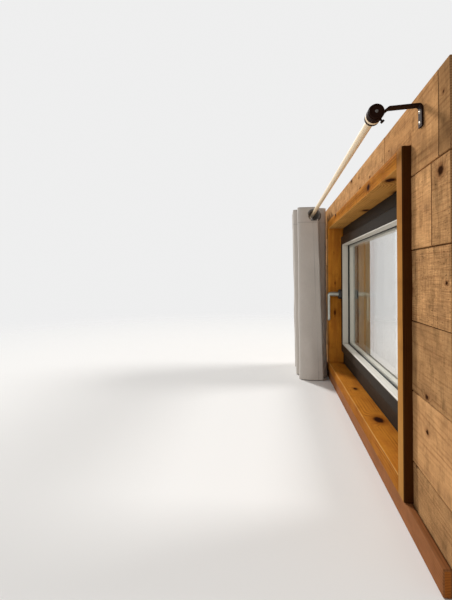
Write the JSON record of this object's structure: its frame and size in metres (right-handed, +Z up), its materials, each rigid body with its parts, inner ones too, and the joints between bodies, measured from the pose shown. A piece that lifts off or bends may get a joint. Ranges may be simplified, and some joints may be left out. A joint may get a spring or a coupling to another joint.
{
  "type": "timber wall bay with window and curtain",
  "caption": "Bay of a timber-lined loft side wall: stud frame, boards, window in a deep timber surround, curtain gathered on a bracketed rod.",
  "frame": {"origin": "middle of the sole plate's underside: half way along the bay, on the centre plane of the studs, at floor level", "axes": "+X along the wall, to the right as seen from the room; +Y from the room to the outside; +Z up"},
  "size_m": [1.69, 0.3739, 0.846],
  "materials": {
    "framing_timber": "planed softwood",
    "lining_boards": "rough-sawn softwood, clear oiled",
    "skirting_timber": "planed softwood, oiled",
    "sheathing_board": "plywood",
    "batten_timber": "sawn softwood",
    "cladding_boards": "sawn softwood boards, oiled",
    "surround_timber": "planed pine, golden stain",
    "window_frame": "satin powder coat",
    "glazing_bead": "extruded, matt",
    "gasket_rubber": "matt",
    "window_glass": "clear",
    "spacer_metal": "mill finish",
    "handle_base_coat": "satin",
    "handle_metal": "satin",
    "flashing_sheet": "coated sheet",
    "rod_finish": "satin ivory enamel",
    "bracket_metal": "dark bronze coat",
    "eyelet_metal": "dark satin",
    "curtain_cloth": "plain weave"
  },
  "bodies": {
    "root": {"sole_plate": "framing_timber", "top_plate": "framing_timber", "far_end_stud": "framing_timber", "far_jamb_stud": "framing_timber", "near_jamb_stud": "framing_timber", "near_end_stud": "framing_timber", "window_lintel": "framing_timber", "lining_far": "lining_boards", "lining_near": "lining_boards", "lining_over": "lining_boards", "lining_under": "lining_boards", "skirting": "skirting_timber", "sheathing": "sheathing_board", "battens": "batten_timber", "cladding": "cladding_boards", "surround_head": "surround_timber", "surround_sill": "surround_timber", "surround_jamb_far": "surround_timber", "surround_jamb_near": "surround_timber", "frame_head": "window_frame", "frame_sill": "window_frame", "frame_jamb_far": "window_frame", "frame_jamb_near": "window_frame", "sash_head": "window_frame", "sash_sill": "window_frame", "sash_stile_far": "window_frame", "sash_stile_near": "window_frame", "glazing_beads": "glazing_bead", "gaskets": "gasket_rubber", "inner_pane": "window_glass", "outer_pane": "window_glass", "spacer": "spacer_metal", "handle_base": "handle_base_coat", "handle_lever": "handle_metal", "reveal_head": "cladding_boards", "reveal_jambs": "cladding_boards", "sill_flashing": "flashing_sheet", "curtain_rod": "rod_finish", "rod_collars": "bracket_metal", "near_bracket": "bracket_metal", "far_bracket": "bracket_metal", "near_cap": "bracket_metal", "far_cap": "bracket_metal", "curtain": "curtain_cloth", "eyelets": "eyelet_metal"}
  },
  "joints": []
}
